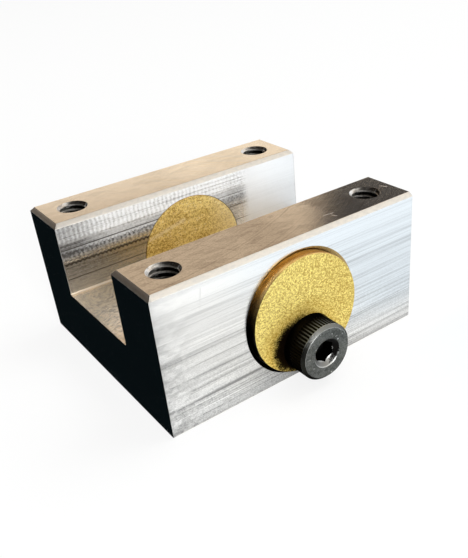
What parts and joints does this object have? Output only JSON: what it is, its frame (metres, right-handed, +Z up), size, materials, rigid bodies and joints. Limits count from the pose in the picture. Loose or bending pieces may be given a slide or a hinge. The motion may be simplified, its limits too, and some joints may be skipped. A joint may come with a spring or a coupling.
{
  "type": "linear guide carriage",
  "caption": "U-shaped carriage block that rides astride a rail, with a round bronze wear pad in each side wall held by a socket cap screw, and tapped holes in its top faces.",
  "frame": {"origin": "centre of the block's base", "axes": "+X along the rail, +Y across it from the near side to the far side, +Z up, out of the channel's open side"},
  "size_m": [0.037, 0.0406, 0.018],
  "materials": {
    "milled_aluminium": "milled, with fine feed marks along the block",
    "sintered_bronze": "matt and granular, sintered",
    "black_oxide_steel": "black oxide, slightly worn on the edges"
  },
  "bodies": {
    "root": {"guide_body": "milled_aluminium", "near_wear_pad": "sintered_bronze", "far_wear_pad": "sintered_bronze", "near_pad_screw": "black_oxide_steel", "far_pad_screw": "black_oxide_steel"}
  },
  "joints": []
}
